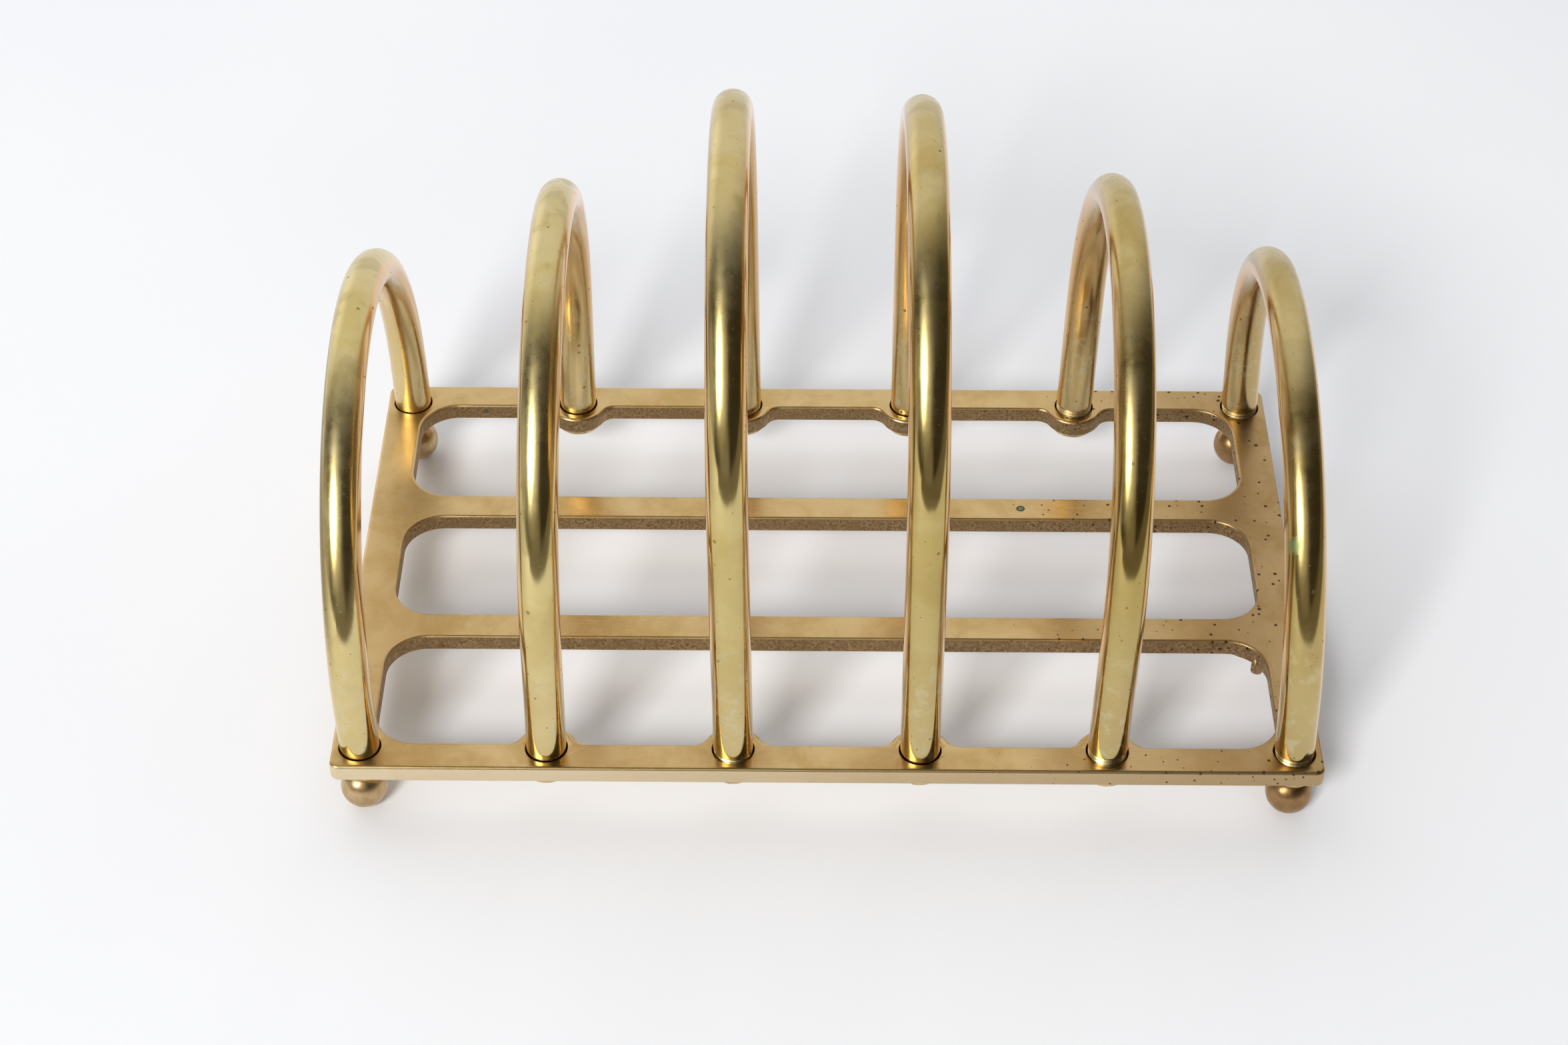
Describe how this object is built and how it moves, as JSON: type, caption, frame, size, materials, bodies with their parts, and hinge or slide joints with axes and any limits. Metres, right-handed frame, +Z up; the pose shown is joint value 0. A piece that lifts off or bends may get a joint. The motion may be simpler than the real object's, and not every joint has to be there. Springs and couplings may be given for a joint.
{
  "type": "toast rack",
  "caption": "Free-standing brass toast rack: bent round rods of stepped height in an open windowed frame on ball feet, held by ring nuts below.",
  "frame": {"origin": "on the table, under the centre of the frame", "axes": "+X along the frame to the right, +Y to the back, +Z up; the arches lie across the frame, in the Y-Z direction"},
  "size_m": [0.157, 0.096, 0.0986],
  "materials": {
    "frame_brass": "satin cast brass, dulled, with brown walls in the windows",
    "rod_brass": "polished and lacquered, lacquer worn and speckled",
    "nut_brass": "turned, dulled",
    "foot_brass": "turned ball, satin, browned"
  },
  "bodies": {
    "root": {"base_frame": "frame_brass", "arch_end_left": "rod_brass", "arch_mid_left": "rod_brass", "arch_tall_left": "rod_brass", "arch_tall_right": "rod_brass", "arch_mid_right": "rod_brass", "arch_end_right": "rod_brass", "nut_front_1": "nut_brass", "nut_front_2": "nut_brass", "nut_front_3": "nut_brass", "nut_front_4": "nut_brass", "nut_front_5": "nut_brass", "nut_front_6": "nut_brass", "nut_back_1": "nut_brass", "nut_back_2": "nut_brass", "nut_back_3": "nut_brass", "nut_back_4": "nut_brass", "nut_back_5": "nut_brass", "nut_back_6": "nut_brass", "foot_front_left": "foot_brass", "foot_front_right": "foot_brass", "foot_back_left": "foot_brass", "foot_back_right": "foot_brass"}
  },
  "joints": []
}
